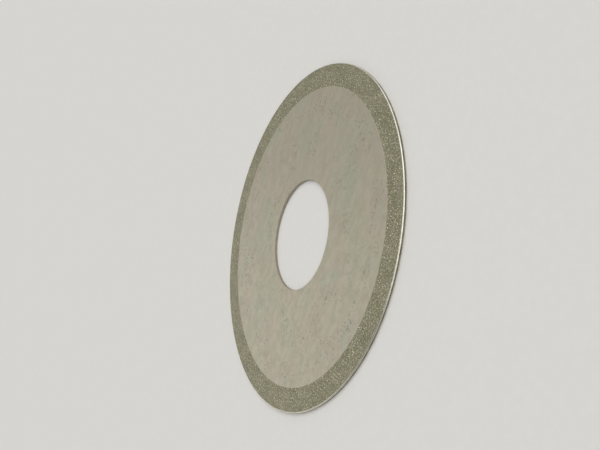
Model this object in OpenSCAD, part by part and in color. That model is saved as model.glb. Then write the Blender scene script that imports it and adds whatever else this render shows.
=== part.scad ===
// Single-layer diamond grinding wheel: a thin steel core, plated with nickel, with a band of
// diamond grit bonded round the edge of both faces.
// The wheel lies flat on its back face. The origin is the wheel's centre, its axis is Z, and the
// front face looks up, towards +Z.
// Every solid is turned about the wheel's axis from a section whose x is the radius and whose
// y is the height above the wheel's middle plane, positive on the front.

/* [Wheel] */
// Diameter over the rim
wheel_d = 100; // [80:1:150]
// Diameter of the finished bore
bore_d = 32; // [20:0.5:40]

/* [Steel core] */
// Thickness of the bare core inside the grit bands
core_t = 0.74; // [0.6:0.02:1.6]
// Depth that the core is relieved by, on each face, under the grit
relief_depth = 0.10; // [0.06:0.01:0.2]
// Chamfer on both edges of the core's bore
core_chamfer = 0.05; // [0.03:0.01:0.06]

/* [Nickel] */
// Thickness of the skin on the faces and in the bore
skin_t = 0.03; // [0.02:0.005:0.05]
// Radius of the plated edges of the bore
bore_edge_r = 0.10; // [0.06:0.01:0.1]
// Width that the bore's skin laps over each face
bore_lap = 0.5; // [0.3:0.1:2]
// Thickness of the bond that holds the grit
bond_t = 0.11; // [0.08:0.01:0.15]
// Thickness of the smooth build-up round the rim
rim_wall = 0.30; // [0.2:0.05:0.5]
// Radius of the build-up's rounded corners, limited by its thickness and its height
rim_corner_r = 0.28; // [0.1:0.01:0.28]

/* [Diamond band] */
// Width of the band of grit, rim build-up included
band_w = 6.7; // [3:0.1:12]
// Height that the crystals stand above the bond
grit_proud = 0.07; // [0.04:0.01:0.1]

/* [Hidden] */
$fn = 180;
corner_steps = 6;

wheel_r = wheel_d / 2;
bore_r = bore_d / 2;
core_bore_r = bore_r + skin_t;
lap_r = core_bore_r + bore_lap;
core_rim_r = wheel_r - rim_wall;
band_inner_r = wheel_r - band_w;

core_half = core_t / 2;
relief_half = core_half - relief_depth;
face_half = core_half + skin_t;
bond_half = relief_half + bond_t;
grit_half = bond_half + grit_proud;

// Turns a section about the wheel's axis.
module turned() {
  rotate_extrude()
    children();
}

// A flat ring between two radii and two heights.
module ring(inner_r, outer_r, low, high) {
  turned()
    translate([inner_r, low])
      square([outer_r - inner_r, high - low]);
}

// Puts a front piece on the back of the wheel.
module on_back() {
  mirror([0, 0, 1])
    children();
}

// Points on a quarter circle that starts at an angle, in order round it.
function quarter(centre, r, start) = [
  for (i = [0 : corner_steps])
    centre + r * [cos(start + 90 * i / corner_steps), sin(start + 90 * i / corner_steps)]
];

// The core is thickest inside the bands and relieved under them, so that the finished bands lie
// almost level with the faces.
module steel_core() {
  color([0.47, 0.47, 0.46])
    turned()
      polygon([
        [core_bore_r, core_chamfer - core_half],
        [core_bore_r + core_chamfer, -core_half],
        [band_inner_r, -core_half],
        [band_inner_r, -relief_half],
        [core_rim_r, -relief_half],
        [core_rim_r, relief_half],
        [band_inner_r, relief_half],
        [band_inner_r, core_half],
        [core_bore_r + core_chamfer, core_half],
        [core_bore_r, core_half - core_chamfer]
      ]);
}

// The skin on a face stops at the bore's own skin and at the band.
module front_face_plating() {
  color([0.63, 0.60, 0.53])
    ring(lap_r, band_inner_r, core_half, face_half);
}

module back_face_plating() {
  color([0.63, 0.60, 0.53])
    on_back()
      ring(lap_r, band_inner_r, core_half, face_half);
}

// The bore's skin wraps both edges of the core and ends level with the skins on the faces.
module bore_plating() {
  edge_x = bore_r + bore_edge_r;
  edge_y = face_half - bore_edge_r;
  color([0.55, 0.52, 0.46])
    turned()
      polygon(concat(
        quarter([edge_x, -edge_y], bore_edge_r, 180),
        [
          [lap_r, -face_half],
          [lap_r, -core_half],
          [core_bore_r + core_chamfer, -core_half],
          [core_bore_r, core_chamfer - core_half],
          [core_bore_r, core_half - core_chamfer],
          [core_bore_r + core_chamfer, core_half],
          [lap_r, core_half],
          [lap_r, face_half]
        ],
        quarter([edge_x, edge_y], bore_edge_r, 90)
      ));
}

module front_bond_band() {
  color([0.42, 0.40, 0.32])
    ring(band_inner_r, core_rim_r, relief_half, bond_half);
}

module back_bond_band() {
  color([0.42, 0.40, 0.32])
    on_back()
      ring(band_inner_r, core_rim_r, relief_half, bond_half);
}

// Nickel builds up thickest on the rim, so this ring is as proud as the crystals' tips and its
// outer corners are round.
module rim_plating() {
  corner_r = min(rim_corner_r, rim_wall - 0.02, grit_half - 0.02);
  corner_x = wheel_r - corner_r;
  corner_y = grit_half - corner_r;
  color([0.70, 0.68, 0.62])
    turned()
      polygon(concat(
        [[core_rim_r, -grit_half]],
        quarter([corner_x, -corner_y], corner_r, -90),
        quarter([corner_x, corner_y], corner_r, 0),
        [[core_rim_r, grit_half]]
      ));
}

// Each grit ring is the envelope of the part of the crystals that stands above the bond.
module front_diamond_grit() {
  color([0.48, 0.47, 0.38])
    ring(band_inner_r, core_rim_r, bond_half, grit_half);
}

module back_diamond_grit() {
  color([0.48, 0.47, 0.38])
    on_back()
      ring(band_inner_r, core_rim_r, bond_half, grit_half);
}

steel_core();
front_face_plating();
back_face_plating();
bore_plating();
front_bond_band();
back_bond_band();
rim_plating();
front_diamond_grit();
back_diamond_grit();
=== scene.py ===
import math

import bpy
import numpy as np
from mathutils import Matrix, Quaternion, Vector
from mathutils.kdtree import KDTree


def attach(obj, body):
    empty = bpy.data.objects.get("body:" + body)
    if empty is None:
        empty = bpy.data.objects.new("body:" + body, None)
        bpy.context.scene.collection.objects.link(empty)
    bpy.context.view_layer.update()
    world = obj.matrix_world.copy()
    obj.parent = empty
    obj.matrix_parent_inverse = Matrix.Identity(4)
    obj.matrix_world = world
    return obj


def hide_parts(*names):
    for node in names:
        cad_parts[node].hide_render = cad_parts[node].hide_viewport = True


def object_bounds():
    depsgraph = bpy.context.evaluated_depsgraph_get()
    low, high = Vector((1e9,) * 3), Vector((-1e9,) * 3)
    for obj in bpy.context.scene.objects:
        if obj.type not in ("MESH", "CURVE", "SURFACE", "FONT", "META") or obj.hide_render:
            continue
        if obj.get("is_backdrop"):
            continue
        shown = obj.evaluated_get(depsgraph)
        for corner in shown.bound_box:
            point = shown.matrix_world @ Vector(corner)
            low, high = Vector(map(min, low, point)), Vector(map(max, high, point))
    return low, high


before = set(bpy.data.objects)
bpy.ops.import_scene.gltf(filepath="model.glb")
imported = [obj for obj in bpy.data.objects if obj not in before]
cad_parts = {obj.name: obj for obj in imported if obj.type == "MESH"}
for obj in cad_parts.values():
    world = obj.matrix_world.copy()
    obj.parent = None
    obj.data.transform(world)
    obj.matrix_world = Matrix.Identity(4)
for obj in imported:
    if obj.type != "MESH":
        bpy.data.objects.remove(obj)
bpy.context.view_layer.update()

# A diamond grinding wheel: a thin plated steel disc with a band of diamond crystals bonded round
# the edge of both faces. It lies flat on its back, its axis is Z and its front looks up.
# Lengths are in metres. A section's points are (radius, height), where height is measured from
# the wheel's middle plane outwards, to the front or to the back.

MM = 0.001


# ---- sizes, all from the CAD frame ------------------------------------------------------------

def section_of(node):
    """A ring node's smallest and largest radius, and its least and greatest height."""
    points = np.array([v.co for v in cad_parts[node].data.vertices])
    radii = np.hypot(points[:, 0], points[:, 1])
    heights = np.abs(points[:, 2])
    return radii.min(), radii.max(), heights.min(), heights.max()


core_bore_r = section_of("steel_core")[0]
bore_r, _, _, face_h = section_of("bore_plating")
_, band_r, core_h, _ = section_of("front_face_plating")
_, core_rim_r, relief_h, bond_h = section_of("front_bond_band")
_, wheel_r, _, tip_h = section_of("rim_plating")

BORE_EDGE_R = 0.10 * MM          # rounding of the plated edge of the bore
RIM_EDGE_R = 0.28 * MM           # rounding of the rim's two corners
RIM_LEAN = 0.005 * MM            # how far the rim's inner wall leans out above the bond
STEP_EDGE_R = 0.012 * MM         # rounding of the face plating's outer edge
EDGE_BEAD = 0.014 * MM           # height of the bead along that edge
BEAD_INSET = 0.18 * MM           # distance from that edge to the bead's crest
BEAD_SPREAD = 0.11 * MM          # distance from the crest over which the bead falls away

CRYSTAL_SIZE = 0.31 * MM         # mean width of a crystal
CRYSTAL_GAP = 0.34 * MM          # least distance between two crystals' centres
CRYSTAL_LIMIT = 16000            # most crystals on one face
CRYSTAL_LEAN = 24                # most that a crystal leans over, in degrees
TIP_DEPTH = 0.010 * MM           # mean depth of the tips below the grit's full height
TIP_SCATTER = 0.010 * MM         # how much that varies
TIP_LOWEST = -0.03 * MM          # the lowest and highest that a tip may be
TIP_HIGHEST = 0.008 * MM
CLUMP_SIZE = 0.85 * MM           # size of the clumps that crystals of one tint form
BOND_RISE = 0.022 * MM           # how far the bond climbs round a crystal

FACE_SEGMENTS = 900              # steps round the wheel in each kind of mesh
BORE_SEGMENTS = 720
RIM_SEGMENTS = 2400
BOND_SEGMENTS = 1500
FLOOR_SEGMENTS = 128
RIPPLE_WAVES = 7                 # plane waves for each wavelength of a ripple


# ---- meshes -----------------------------------------------------------------------------------

def add_object(name, vertices, faces, materials, smooth=True, sharp_deg=35):
    """Makes a mesh object from arrays, smooth except across edges sharper than sharp_deg."""
    mesh = bpy.data.meshes.new(name)
    mesh.from_pydata(vertices.tolist(), [], faces.tolist())
    mesh.update()
    obj = bpy.data.objects.new(name, mesh)
    bpy.context.scene.collection.objects.link(obj)
    for material in materials:
        mesh.materials.append(material)
    mesh.polygons.foreach_set("use_smooth", [smooth] * len(mesh.polygons))
    if smooth:
        mesh.set_sharp_from_angle(angle=math.radians(sharp_deg))
    return obj


def arc(centre, radius, start_deg, end_deg, steps):
    """Points on an arc in a section, both ends included."""
    angles = np.radians(np.linspace(start_deg, end_deg, steps + 1))
    return np.stack([centre[0] + radius * np.cos(angles), centre[1] + radius * np.sin(angles)], 1)


def turned(section, segments, side=1, relief=None):
    """Turns a closed anticlockwise section about the wheel's axis.
    side is 1 for the front and -1 for the back. relief(radius, height, angle) gives new radii
    and heights, so that a turned surface can carry real bumps."""
    section = np.asarray(section)
    angles = np.linspace(0, 2 * math.pi, segments, endpoint=False)
    radius, angle = np.meshgrid(section[:, 0], angles)
    height = np.broadcast_to(section[:, 1], radius.shape)
    if relief is not None:
        radius, height = relief(radius, height, angle)
    vertices = np.stack(
        [radius * np.cos(angle), radius * np.sin(angle), side * height], 2
    ).reshape(-1, 3)
    count = len(section)
    here = np.arange(segments * count).reshape(segments, count)
    ahead = np.roll(here, -1, axis=0)
    quads = np.stack([here, ahead, np.roll(ahead, -1, axis=1), np.roll(here, -1, axis=1)], 2)
    if side < 0:
        quads = quads[..., ::-1]
    return vertices, quads.reshape(-1, 4)


def ripple(radius, angle, waves, seed):
    """A smooth random surface of height about 1, as a sum of plane waves over the wheel's face.
    waves is a list of (wavelength, share)."""
    rng = np.random.default_rng(seed)
    x, y = radius * np.cos(angle), radius * np.sin(angle)
    total = np.zeros_like(radius)
    for wavelength, share in waves:
        for _ in range(RIPPLE_WAVES):
            heading, phase = rng.uniform(0, 2 * math.pi, 2)
            pitch = 2 * math.pi / (wavelength * rng.uniform(0.75, 1.3))
            total += share * np.sin(pitch * (x * math.cos(heading) + y * math.sin(heading)) + phase)
    return total / math.sqrt(RIPPLE_WAVES)


def face_plating(name, side, material, seed):
    """The nickel skin of one face. Its surface has the slight waviness of a thin plated sheet,
    and a low bead along its outer edge, where plating builds up."""
    edge_rows = band_r - np.array([0.07, 0.13, 0.20, 0.27, 0.36, 0.5]) * MM
    inner_rows = np.linspace(band_r - 0.9 * MM, bore_r + BORE_EDGE_R, 54)
    rows = np.concatenate([[band_r - STEP_EDGE_R], edge_rows, inner_rows])
    surface = np.stack([rows, np.full_like(rows, face_h)], 1)
    edge = arc((band_r - STEP_EDGE_R, face_h - STEP_EDGE_R), STEP_EDGE_R, 0, 67.5, 3)
    under = np.array([[bore_r + BORE_EDGE_R, core_h], [band_r, core_h]])
    section = np.concatenate([under, edge, surface])

    def relief(radius, height, angle):
        wave = ripple(radius, angle, [(17 * MM, 0.004 * MM), (4.5 * MM, 0.0008 * MM)], seed)
        inside = np.clip((radius - rows[-1]) / MM, 0, 1) * np.clip((band_r - radius) / MM, 0, 1)
        bead = EDGE_BEAD * np.exp(-((band_r - radius - BEAD_INSET) / BEAD_SPREAD) ** 2)
        top = height >= face_h - STEP_EDGE_R / 2
        return radius, height + np.where(top, wave * inside + bead, 0)

    vertices, faces = turned(section, FACE_SEGMENTS, side, relief)
    return add_object(name, vertices, faces, [material])


def bore_plating(name, material):
    """The bore's nickel skin, which wraps both corners of the core."""
    centre_r = bore_r + BORE_EDGE_R
    centre_h = face_h - BORE_EDGE_R
    section = np.concatenate([
        arc((centre_r, -centre_h), BORE_EDGE_R, 180, 270, 8),
        [[centre_r, -core_h], [core_bore_r, -core_h], [core_bore_r, core_h], [centre_r, core_h]],
        arc((centre_r, centre_h), BORE_EDGE_R, 90, 180, 8),
        np.stack([np.full(3, bore_r), np.linspace(0.5, -0.5, 3) * centre_h], 1),
    ])
    vertices, faces = turned(section, BORE_SEGMENTS)
    return add_object(name, vertices, faces, [material])


def rim_plating(name, material, seed):
    """The smooth build-up round the rim. Its lips swell slightly where nickel has grown."""
    corner = RIM_EDGE_R
    centre = (wheel_r - corner, tip_h - corner)
    wall = np.linspace(-1, 1, 7)[1:-1]
    section = np.concatenate([
        [[core_rim_r, -relief_h], [core_rim_r, -bond_h], [core_rim_r + RIM_LEAN, -tip_h]],
        arc((centre[0], -centre[1]), corner, -90, 0, 10),
        np.stack([np.full_like(wall, wheel_r), wall * centre[1]], 1),
        arc(centre, corner, 0, 90, 10),
        [[core_rim_r + RIM_LEAN, tip_h], [core_rim_r, bond_h], [core_rim_r, relief_h]],
    ])

    def relief(radius, height, angle):
        waves = [(1.4 * MM, 0.006 * MM), (0.55 * MM, 0.005 * MM)]
        swell = ripple(radius + 3 * height, angle, waves, seed)
        outer = np.clip((radius - core_rim_r) / (wheel_r - core_rim_r), 0, 1)
        flat = np.abs(height) > bond_h
        return (
            radius - np.abs(swell) * 0.6 * outer,
            height * (1 + np.where(flat, swell / tip_h, 0)),
        )

    vertices, faces = turned(section, RIM_SEGMENTS, 1, relief)
    return add_object(name, vertices, faces, [material], sharp_deg=50)


def scatter(inner_r, outer_r, gap, limit, seed):
    """Random points in a ring, none nearer than gap to another: dart throwing on a grid."""
    rng = np.random.default_rng(seed)
    tries = limit * 6
    radius = np.sqrt(rng.uniform(inner_r ** 2, outer_r ** 2, tries))
    angle = rng.uniform(0, 2 * math.pi, tries)
    x, y = radius * np.cos(angle), radius * np.sin(angle)
    cells = {}
    kept = []
    column, row = (np.floor(c / gap).astype(int).tolist() for c in (x, y))
    for i, (a, b) in enumerate(zip(column, row)):
        near = (
            j
            for u in (a - 1, a, a + 1)
            for v in (b - 1, b, b + 1)
            for j in cells.get((u, v), ())
        )
        if all((x[i] - x[j]) ** 2 + (y[i] - y[j]) ** 2 > gap * gap for j in near):
            cells.setdefault((a, b), []).append(i)
            kept.append(i)
            if len(kept) == limit:
                break
    return np.stack([x[kept], y[kept]], 1)


def bond_band(name, side, material, crystals, seed):
    """The nickel that holds the crystals: nodular, and climbing a little round each of them."""
    rows = np.linspace(core_rim_r, band_r, 34)
    surface = np.stack([rows, np.full_like(rows, bond_h)], 1)
    under = np.array([[band_r, relief_h], [core_rim_r, relief_h]])
    section = np.concatenate([under, surface])
    tree = KDTree(len(crystals))
    for i, (x, y) in enumerate(crystals):
        tree.insert((x, y, 0), i)
    tree.balance()

    def relief(radius, height, angle):
        waves = [(0.9 * MM, 0.006 * MM), (0.42 * MM, 0.006 * MM)]
        wave = ripple(radius, angle, waves, seed)
        x, y = radius * np.cos(angle), radius * np.sin(angle)
        away = np.array([tree.find((a, b, 0))[2] for a, b in zip(x.ravel(), y.ravel())])
        climb = BOND_RISE * np.clip(1 - away.reshape(x.shape) / CRYSTAL_SIZE, 0, 1)
        top = height > (relief_h + bond_h) / 2
        return radius, height + np.where(top, wave + climb - 0.6 * BOND_RISE, 0)

    vertices, faces = turned(section, BOND_SEGMENTS, side, relief)
    return add_object(name, vertices, faces, [material])


def antiprism(top, twist_deg, sides):
    """A closed faceted solid: two polygons, one turned against the other."""
    turn = 2 * math.pi * np.arange(sides) / sides
    low = np.stack([0.5 * np.cos(turn), 0.5 * np.sin(turn), np.full(sides, -0.28)], 1)
    turn = turn + math.radians(twist_deg)
    high = np.stack([top * np.cos(turn), top * np.sin(turn), np.full(sides, 0.28)], 1)
    faces = []
    for i in range(sides):
        j = (i + 1) % sides
        faces += [(i, j, sides + i), (j, sides + j, sides + i)]
    for i in range(1, sides - 1):
        faces += [(0, i + 1, i), (sides, sides + i, sides + i + 1)]
    return np.concatenate([low, high]), np.array(faces)


def octahedron():
    """A closed octahedron standing on a corner."""
    points = 0.56 * np.array(
        [[1, 0, 0], [0, 1, 0], [-1, 0, 0], [0, -1, 0], [0, 0, 0.55], [0, 0, -0.55]]
    )
    faces = [(i, (i + 1) % 4, 4) for i in range(4)] + [((i + 1) % 4, i, 5) for i in range(4)]
    return points, np.array(faces)


HABITS = [                       # share of the crystals, solid
    (0.45, antiprism(0.36, 45, 4)),
    (0.20, antiprism(0.44, 38, 4)),
    (0.20, antiprism(0.34, 60, 3)),
    (0.15, octahedron()),
]


def rotations(count, tilt_deg, rng):
    """Rotation matrices: any turn about the face's normal, then a lean of up to tilt_deg."""
    turn = rng.uniform(0, 2 * math.pi, count)
    lean = np.radians(tilt_deg) * np.sqrt(rng.uniform(0, 1, count))
    way = rng.uniform(0, 2 * math.pi, count)
    zero, one = np.zeros(count), np.ones(count)

    def about_normal(a):
        rows = [np.cos(a), -np.sin(a), zero, np.sin(a), np.cos(a), zero, zero, zero, one]
        return np.stack(rows, 1).reshape(-1, 3, 3)

    def about_edge(a):
        rows = [one, zero, zero, zero, np.cos(a), -np.sin(a), zero, np.sin(a), np.cos(a)]
        return np.stack(rows, 1).reshape(-1, 3, 3)

    return about_normal(way) @ about_edge(lean) @ about_normal(turn - way)


def crystal_layer(name, side, materials, places, seed):
    """One face's crystals as closed faceted solids, each sunk in the bond. Their tints come partly
    in clumps and partly at random."""
    rng = np.random.default_rng(seed)
    order = rng.permutation(len(places))
    ends = np.cumsum([0] + [round(share * len(places)) for share, _ in HABITS])
    ends[-1] = len(places)
    vertices, faces, tints = [], [], []
    start = 0
    for (first, last), (_, (points, triangles)) in zip(zip(ends, ends[1:]), HABITS):
        chosen = places[order[first:last]]
        count = len(chosen)
        size = CRYSTAL_SIZE * rng.normal(1, 0.10, count).clip(0.75, 1.25)
        stretch = rng.uniform(0.86, 1.14, (count, 1, 3)) * size[:, None, None]
        local = (points[None] * stretch) @ rotations(count, CRYSTAL_LEAN, rng).transpose(0, 2, 1)
        top = local[:, :, 2].max(1)
        rise = rng.normal(-TIP_DEPTH, TIP_SCATTER, count).clip(TIP_LOWEST, TIP_HIGHEST)
        tip = tip_h + rise
        world = np.stack([
            chosen[:, None, 0] + local[:, :, 0],
            chosen[:, None, 1] + local[:, :, 1],
            side * (local[:, :, 2] + (tip - top)[:, None]),
        ], 2)
        offsets = start + len(points) * np.arange(count)
        corners = triangles if side > 0 else triangles[:, ::-1]
        vertices.append(world.reshape(-1, 3))
        faces.append((corners[None] + offsets[:, None, None]).reshape(-1, 3))
        clump = ripple(
            np.hypot(chosen[:, 0], chosen[:, 1]),
            np.arctan2(chosen[:, 1], chosen[:, 0]),
            [(CLUMP_SIZE, 1.4)],
            seed + 7,
        )
        rank = np.argsort(np.argsort(clump + rng.normal(0, 1, count)))
        tint = np.searchsorted(TINT_ENDS, rank / count, side="right")
        tints.append(np.repeat(tint, len(triangles)))
        start += len(points) * count
    vertices, faces = np.concatenate(vertices), np.concatenate(faces)
    obj = add_object(name, vertices, faces, materials, smooth=False)
    obj.data.polygons.foreach_set("material_index", np.concatenate(tints).astype(np.int32))
    return obj


# ---- materials --------------------------------------------------------------------------------

def new_material(name, metallic, roughness, ior=1.5):
    """A Principled material, its node tree and its shader."""
    material = bpy.data.materials.new(name)
    material.use_nodes = True
    shader = material.node_tree.nodes["Principled BSDF"]
    shader.inputs["Metallic"].default_value = metallic
    shader.inputs["Roughness"].default_value = roughness
    shader.inputs["IOR"].default_value = ior
    return material, material.node_tree, shader


def coordinates(tree, scale=(1, 1, 1), shift=(0, 0, 0)):
    """Object coordinates in millimetres, scaled and shifted."""
    place = tree.nodes.new("ShaderNodeTexCoord")
    mapping = tree.nodes.new("ShaderNodeMapping")
    mapping.inputs["Scale"].default_value = [s / MM for s in scale]
    mapping.inputs["Location"].default_value = shift
    tree.links.new(place.outputs["Object"], mapping.inputs["Vector"])
    return mapping.outputs["Vector"]


def noise(tree, vector, pitch_mm, detail=2.0, rough=0.5, distortion=0.0):
    """A noise texture whose features are about pitch_mm apart."""
    texture = tree.nodes.new("ShaderNodeTexNoise")
    texture.inputs["Scale"].default_value = 1 / pitch_mm
    texture.inputs["Detail"].default_value = detail
    texture.inputs["Roughness"].default_value = rough
    texture.inputs["Distortion"].default_value = distortion
    tree.links.new(vector, texture.inputs["Vector"])
    return texture.outputs["Fac"]


def spread(tree, value, low, high, to_low=0.0, to_high=1.0):
    """Maps value from low..high to to_low..to_high, clamped."""
    scale = tree.nodes.new("ShaderNodeMapRange")
    limits = {"From Min": low, "From Max": high, "To Min": to_low, "To Max": to_high}
    for socket, number in limits.items():
        scale.inputs[socket].default_value = number
    tree.links.new(value, scale.inputs["Value"])
    return scale.outputs["Result"]


def maths(tree, operation, *values):
    """A Math node on one or two values, each a number or a socket."""
    node = tree.nodes.new("ShaderNodeMath")
    node.operation = operation
    for socket, value in zip(node.inputs, values):
        if isinstance(value, (int, float)):
            socket.default_value = value
        else:
            tree.links.new(value, socket)
    return node.outputs["Value"]


def height_of(tree, vector):
    """The Z of a vector socket."""
    split = tree.nodes.new("ShaderNodeSeparateXYZ")
    tree.links.new(vector, split.inputs["Vector"])
    return split.outputs["Z"]


def colours(tree, value, stops):
    """A colour ramp; stops is a list of (position, (r, g, b))."""
    ramp = tree.nodes.new("ShaderNodeValToRGB")
    elements = ramp.color_ramp.elements
    while len(elements) < len(stops):
        elements.new(0.5)
    for element, (position, colour) in zip(elements, stops):
        element.position = position
        element.color = (*colour, 1)
    tree.links.new(value, ramp.inputs["Fac"])
    return ramp.outputs["Color"]


def blend_colours(tree, mode, share, a, b):
    """Mixes two colour sockets. share is a number or a socket. A Mix node has sockets of the same
    names for every data type, so the ones for colours are found by their places."""
    mix = tree.nodes.new("ShaderNodeMix")
    mix.data_type = "RGBA"
    mix.blend_type = mode
    if isinstance(share, float):
        mix.inputs[0].default_value = share
    else:
        tree.links.new(share, mix.inputs[0])
    tree.links.new(a, mix.inputs[6])
    tree.links.new(b, mix.inputs[7])
    return mix.outputs[2]


def bump(tree, shader, layers):
    """Chains bumps, each (height socket, depth in mm), into the shader's normal."""
    normal = None
    for height, depth_mm in layers:
        node = tree.nodes.new("ShaderNodeBump")
        node.inputs["Strength"].default_value = 1.0
        node.inputs["Distance"].default_value = depth_mm * MM
        tree.links.new(height, node.inputs["Height"])
        if normal is not None:
            tree.links.new(normal, node.inputs["Normal"])
        normal = node.outputs["Normal"]
    tree.links.new(normal, shader.inputs["Normal"])


FLECK_RING = 38.5                # radius of the ring that flecks gather along, in mm


def face_nickel(name, shift):
    """Satin nickel with large faint tints, soft clouds, faint wipe marks all one way, and fine
    flecks gathered in places and along a ring."""
    material, tree, shader = new_material(name, 1.0, 0.42)
    vector = coordinates(tree, shift=shift)
    patches = noise(tree, vector, 15, detail=2, distortion=0.5)
    tint = colours(tree, patches, [
        (0.32, (0.560, 0.556, 0.435)),
        (0.46, (0.592, 0.558, 0.440)),
        (0.58, (0.606, 0.545, 0.438)),
        (0.72, (0.566, 0.556, 0.446)),
    ])
    clouds = noise(tree, vector, 3.6, detail=3, rough=0.55, distortion=1.2)
    cloud = colours(tree, clouds, [(0.35, (0.93, 0.93, 0.925)), (0.62, (1.0, 1.0, 1.0))])
    wipes = noise(tree, coordinates(tree, (1, 0.35, 1), shift), 1.7, detail=3, rough=0.55)
    wipe = colours(tree, wipes, [(0.36, (0.93, 0.93, 0.925)), (0.62, (1.0, 1.0, 1.0))])
    flecks = noise(tree, vector, 0.75, detail=2, rough=0.6, distortion=0.4)
    fleck = colours(tree, flecks, [(0.34, (0.66, 0.67, 0.66)), (0.44, (1.0, 1.0, 1.0))])
    distance = tree.nodes.new("ShaderNodeVectorMath")
    distance.operation = "LENGTH"
    tree.links.new(coordinates(tree), distance.inputs[0])
    off_ring = maths(tree, "SUBTRACT", distance.outputs["Value"], FLECK_RING)
    ring = spread(tree, maths(tree, "ABSOLUTE", off_ring), 0.8, 3.4, 0.11, 0.0)
    places = maths(tree, "ADD", noise(tree, vector, 9, detail=2), ring)
    gather = spread(tree, places, 0.50, 0.64, 0.12, 1.0)
    clear = blend_colours(tree, "MULTIPLY", 1.0, tint, cloud)
    clear = blend_colours(tree, "MULTIPLY", 1.0, clear, wipe)
    marked = blend_colours(tree, "MULTIPLY", gather, clear, fleck)
    tree.links.new(marked, shader.inputs["Base Color"])
    tree.links.new(spread(tree, clouds, 0.3, 0.7, 0.47, 0.38), shader.inputs["Roughness"])
    peel = noise(tree, vector, 1.8, detail=2, distortion=0.8)
    grain = noise(tree, vector, 0.22, detail=2)
    bump(tree, shader, [(peel, 0.008), (grain, 0.0012)])
    return material


def bore_nickel(name):
    """Nickel over a turned wall: dark streaks run round the bore."""
    material, tree, shader = new_material(name, 1.0, 0.40)
    vector = coordinates(tree, scale=(1, 1, 9))
    streaks = noise(tree, vector, 1.1, detail=4)
    tint = colours(tree, streaks, [(0.3, (0.30, 0.27, 0.21)), (0.7, (0.48, 0.44, 0.36))])
    tree.links.new(tint, shader.inputs["Base Color"])
    tree.links.new(spread(tree, streaks, 0.3, 0.7, 0.55, 0.35), shader.inputs["Roughness"])
    bump(tree, shader, [(streaks, 0.008)])
    return material


def rim_nickel(name):
    """Smooth nickel build-up: bright on both lips. The wall's dark colour is painted shade, a
    painted reflection of shadowed floor.
    """
    material, tree, shader = new_material(name, 1.0, 0.22)
    vector = coordinates(tree)
    patches = noise(tree, vector, 2.2, detail=3)
    lip = colours(tree, patches, [(0.35, (0.66, 0.64, 0.54)), (0.65, (0.78, 0.76, 0.67))])
    # painted shade: the wall's dark colour stands in for the mirrored shadow at its foot
    wall = colours(tree, patches, [(0.35, (0.17, 0.16, 0.12)), (0.65, (0.27, 0.255, 0.20))])
    # mask: the lips' own bright colour, turning into the wall's painted shade
    unshaded_lip = spread(tree, maths(tree, "ABSOLUTE", height_of(tree, vector)), 0.15, 0.27)
    tree.links.new(blend_colours(tree, "MIX", unshaded_lip, wall, lip), shader.inputs["Base Color"])
    tree.links.new(spread(tree, patches, 0.3, 0.7, 0.30, 0.18), shader.inputs["Roughness"])
    bump(tree, shader, [(noise(tree, vector, 0.5, detail=2), 0.006)])
    return material


def bond_nickel(name, shift):
    """Matt nodular nickel between the crystals, with painted shade darkening the hollows between
    the nodules.
    """
    material, tree, shader = new_material(name, 1.0, 0.50)
    vector = coordinates(tree, shift=shift)
    patches = noise(tree, vector, 5, detail=2)
    tint = colours(tree, patches, [(0.35, (0.38, 0.362, 0.240)), (0.65, (0.45, 0.423, 0.300))])
    nodules = noise(tree, vector, 0.30, detail=3)
    # painted shade: the low parts of the nodules are darker
    shade = colours(tree, nodules, [(0.35, (0.6, 0.6, 0.58)), (0.65, (1.0, 1.0, 1.0))])
    tree.links.new(blend_colours(tree, "MULTIPLY", 1.0, tint, shade), shader.inputs["Base Color"])
    tree.links.new(spread(tree, nodules, 0.3, 0.7, 0.62, 0.42), shader.inputs["Roughness"])
    bump(tree, shader, [(nodules, 0.03)])
    return material


def crystal(name, colour, deep, shift):
    """Diamond: a glossy facet over an olive body that varies from grain to grain. On the lightest
    grains the body colour is partly painted glint.
    """
    material, tree, shader = new_material(name, 0.0, 0.16, ior=2.4)
    vector = coordinates(tree, shift=shift)
    cloud = noise(tree, vector, 0.35, detail=2)
    tint = colours(tree, cloud, [(0.32, deep), (0.62, colour)])
    tree.links.new(tint, shader.inputs["Base Color"])
    tree.links.new(spread(tree, cloud, 0.3, 0.7, 0.26, 0.12), shader.inputs["Roughness"])
    bump(tree, shader, [(noise(tree, vector, 0.06, detail=1), 0.003)])
    return material


def core_steel(name):
    """Ground steel, under the plating: fine scratches round the axis."""
    material, tree, shader = new_material(name, 1.0, 0.35)
    vector = coordinates(tree, scale=(1, 1, 6))
    scratches = noise(tree, vector, 0.5, detail=4)
    tint = colours(tree, scratches, [(0.3, (0.42, 0.42, 0.41)), (0.7, (0.52, 0.52, 0.51))])
    tree.links.new(tint, shader.inputs["Base Color"])
    tree.links.new(spread(tree, scratches, 0.3, 0.7, 0.45, 0.30), shader.inputs["Roughness"])
    bump(tree, shader, [(scratches, 0.004)])
    return material


def paper(name):
    """The pale matt floor."""
    material, tree, shader = new_material(name, 0.0, 0.85)
    tooth = noise(tree, coordinates(tree), 2.0, detail=3)
    tint = colours(tree, tooth, [(0.3, (0.775, 0.765, 0.745)), (0.7, (0.79, 0.78, 0.76))])
    tree.links.new(tint, shader.inputs["Base Color"])
    shader.inputs["Specular IOR Level"].default_value = 0.0
    return material


# ---- the wheel --------------------------------------------------------------------------------

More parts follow.
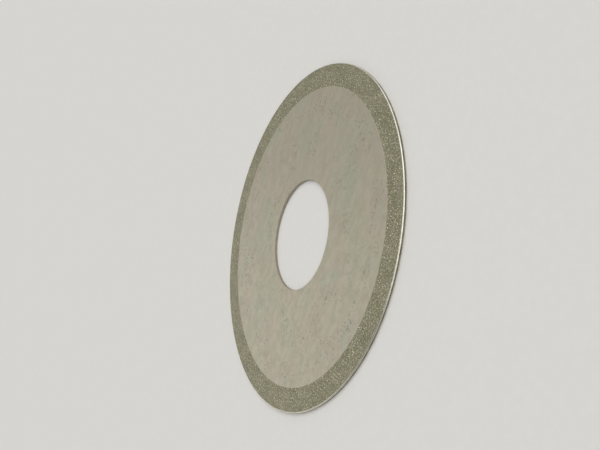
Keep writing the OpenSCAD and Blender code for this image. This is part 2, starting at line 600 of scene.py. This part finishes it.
GRIT_TINTS = [                   # share of the crystals, facet colour, deep colour
    (0.36, (0.11, 0.107, 0.048), (0.06, 0.059, 0.028)),
    (0.19, (0.22, 0.213, 0.115), (0.13, 0.127, 0.065)),
    (0.15, (0.36, 0.348, 0.210), (0.22, 0.213, 0.120)),
    # the two lightest tints are partly the grains' own pale tone and partly painted glints
    (0.17, (0.66, 0.625, 0.425), (0.46, 0.435, 0.280)),
    (0.13, (0.95, 0.900, 0.680), (0.74, 0.700, 0.500)),
]
TINT_ENDS = np.cumsum([share for share, _, _ in GRIT_TINTS])[:-1]    # share up to each tint's end


def add_piece(obj, node):
    """Puts a detailed piece in a CAD node's place."""
    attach(obj, "root")
    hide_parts(node)


grit_materials = [
    crystal(f"diamond_{i}", colour, deep, (7.3 * i, 1.9 * i, 4.1 * i))
    for i, (_, colour, deep) in enumerate(GRIT_TINTS)
]
for label, side, seed in (("front", 1, 11), ("back", -1, 47)):
    shift = (0, 0, 0) if side > 0 else (31, 17, 53)
    skin = face_plating(
        f"{label}_nickel_face", side, face_nickel(f"{label}_face_nickel", shift), seed
    )
    add_piece(skin, f"{label}_face_plating")
    margin = 0.35 * CRYSTAL_SIZE
    spots = scatter(band_r + margin, core_rim_r - margin, CRYSTAL_GAP, CRYSTAL_LIMIT, seed + 1)
    bond = bond_band(
        f"{label}_nickel_bond", side, bond_nickel(f"{label}_bond_nickel", shift), spots, seed + 2
    )
    add_piece(bond, f"{label}_bond_band")
    grit = crystal_layer(f"{label}_diamond_crystals", side, grit_materials, spots, seed + 3)
    add_piece(grit, f"{label}_diamond_grit")

bore = bore_plating("bore_nickel_wall", bore_nickel("bore_wall_nickel"))
add_piece(bore, "bore_plating")
rim = rim_plating("rim_nickel_ring", rim_nickel("rim_bright_nickel"), 5)
add_piece(rim, "rim_plating")

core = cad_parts["steel_core"]
core.data.materials.clear()
core.data.materials.append(core_steel("ground_core_steel"))


# ---- stage, light and camera ------------------------------------------------------------------

FLOOR_R = 12.0                   # the floor runs far enough to meet the horizon
LIGHT_TINT = (1.0, 0.99, 0.97)   # colour of the room's light and of the windows
WALL_TINT = (0.679, 0.664, 0.630)    # the lit floor's own tone

VIEW_AZIMUTH = 110.98            # the camera's bearing, height and roll, in degrees
VIEW_ELEVATION = 27.17
VIEW_ROLL = -79.81
VIEW_DISTANCE = 4.2775           # from the point that it looks at, in wheel radii
VIEW_AIM = (-0.0074, 0.0561)     # that point, across and up the view, in wheel radii
VIEW_LENS = 44.5                 # focal length in mm, on a 36 mm sensor


def direction(azimuth, elevation):
    """The unit vector towards a place in the room, from its bearing and height in degrees."""
    a, e = math.radians(azimuth), math.radians(elevation)
    return Vector((math.sin(a) * math.cos(e), -math.cos(a) * math.cos(e), math.sin(e)))


def floor():
    """A flat pale floor at the wheel's lowest point."""
    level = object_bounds()[0].z
    radii = np.array([0.0001, 0.1, 0.3, 1.0, 3.0, FLOOR_R])
    angles = np.linspace(0, 2 * math.pi, FLOOR_SEGMENTS, endpoint=False)
    radius, angle = np.meshgrid(radii, angles)
    vertices = np.stack(
        [radius * np.cos(angle), radius * np.sin(angle), np.full_like(radius, level)], 2
    ).reshape(-1, 3)
    here = np.arange(radius.size).reshape(radius.shape)
    ahead = np.roll(here, -1, axis=0)
    quads = np.stack([here[:, :-1], here[:, 1:], ahead[:, 1:], ahead[:, :-1]], 2).reshape(-1, 4)
    add_object("studio_floor", vertices, quads, [paper("studio_paper")])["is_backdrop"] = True


def surround():
    """The light of the room: dim overhead and pale low down. The camera itself sees a plain wall
    of the floor's own tone."""
    world = bpy.data.worlds.new("studio_light")
    world.use_nodes = True
    tree = world.node_tree
    room = tree.nodes["Background"]
    room.inputs["Color"].default_value = (*LIGHT_TINT, 1)
    place = tree.nodes.new("ShaderNodeTexCoord")
    glow = spread(tree, height_of(tree, place.outputs["Generated"]), 0.25, 0.85, 0.605, 0.15)
    tree.links.new(glow, room.inputs["Strength"])
    wall = tree.nodes.new("ShaderNodeBackground")
    wall.inputs["Color"].default_value = (*WALL_TINT, 1)
    rays = tree.nodes.new("ShaderNodeLightPath")
    mix = tree.nodes.new("ShaderNodeMixShader")
    tree.links.new(rays.outputs["Is Camera Ray"], mix.inputs["Fac"])
    tree.links.new(room.outputs["Background"], mix.inputs[1])
    tree.links.new(wall.outputs["Background"], mix.inputs[2])
    tree.links.new(mix.outputs["Shader"], tree.nodes["World Output"].inputs["Surface"])
    bpy.context.scene.world = world


def window(name, azimuth, elevation, width_deg, strength):
    """A broad, distant soft light, so that the floor is evenly lit. Azimuth 0 is towards -Y and
    90 is towards +X."""
    lamp = bpy.data.lights.new(name, "SUN")
    lamp.angle = math.radians(width_deg)
    lamp.energy = strength
    lamp.color = LIGHT_TINT
    obj = bpy.data.objects.new(name, lamp)
    bpy.context.scene.collection.objects.link(obj)
    obj.rotation_mode = "QUATERNION"
    obj.rotation_quaternion = direction(azimuth, elevation).to_track_quat("Z", "Y")


def camera():
    """The view is low over the wheel's face, and rolled so that the wheel stands tall in it."""
    lens = bpy.data.cameras.new("view")
    lens.sensor_width = 36
    lens.lens = VIEW_LENS
    lens.clip_start = 0.01
    lens.clip_end = 10
    obj = bpy.data.objects.new("view", lens)
    bpy.context.scene.collection.objects.link(obj)
    back = direction(VIEW_AZIMUTH, VIEW_ELEVATION)
    turn = back.to_track_quat("Z", "Y") @ Quaternion((0, 0, 1), math.radians(VIEW_ROLL))
    aim = turn @ Vector((*VIEW_AIM, 0)) * wheel_r
    obj.rotation_mode = "QUATERNION"
    obj.rotation_quaternion = turn
    obj.location = aim + back * VIEW_DISTANCE * wheel_r
    bpy.context.scene.camera = obj


floor()
surround()
window("key", 204, 64, 80, 1.30)
window("rim_right", 96, 31, 35, 0.30)
window("rim_upper_right", 130, 31, 35, 0.38)
window("rim_top", 164, 31, 35, 0.30)
window("face", -46, 33, 46, 0.19)
camera()

bpy.context.scene.view_settings.view_transform = "Standard"
bpy.context.scene.view_settings.look = "None"
